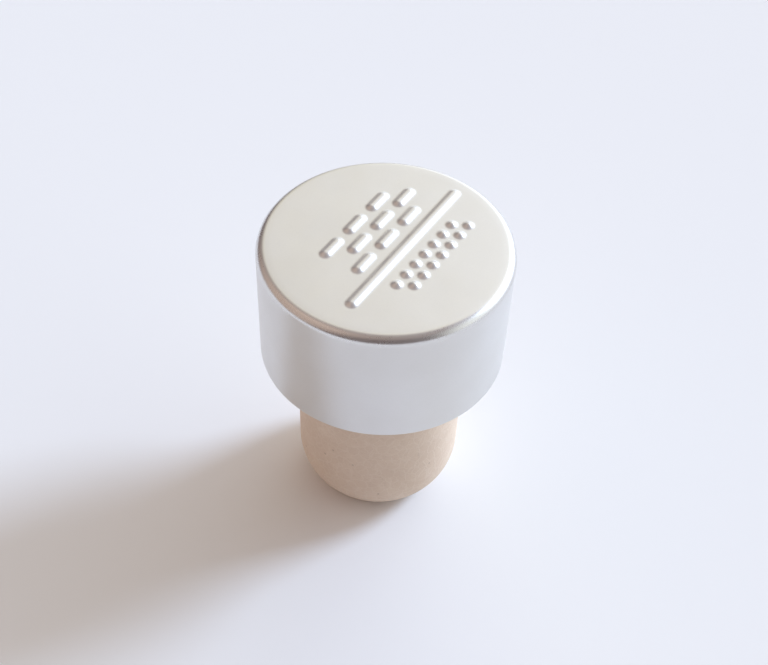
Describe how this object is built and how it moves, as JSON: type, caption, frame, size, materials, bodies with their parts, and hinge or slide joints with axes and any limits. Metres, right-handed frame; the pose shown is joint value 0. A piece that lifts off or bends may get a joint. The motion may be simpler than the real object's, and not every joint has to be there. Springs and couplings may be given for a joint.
{
  "type": "bar top cork",
  "caption": "Bar top bottle stopper: a satin metal cap with a raised ornament over a moulded core, and a soft beige shank with a rounded end that plugs the neck.",
  "frame": {"origin": "centre of the flat foot of the shank, where the stopper stands", "axes": "+Z along the stopper's axis from the foot to the cap, +X along the raised rule on the cap"},
  "size_m": [0.0288, 0.0288, 0.0387],
  "materials": {
    "satin_metal": "satin",
    "core_plastic": "matte",
    "shank_foam": "matte"
  },
  "bodies": {
    "root": {"cap_shell": "satin_metal", "cap_core": "core_plastic", "shank": "shank_foam"}
  },
  "joints": []
}
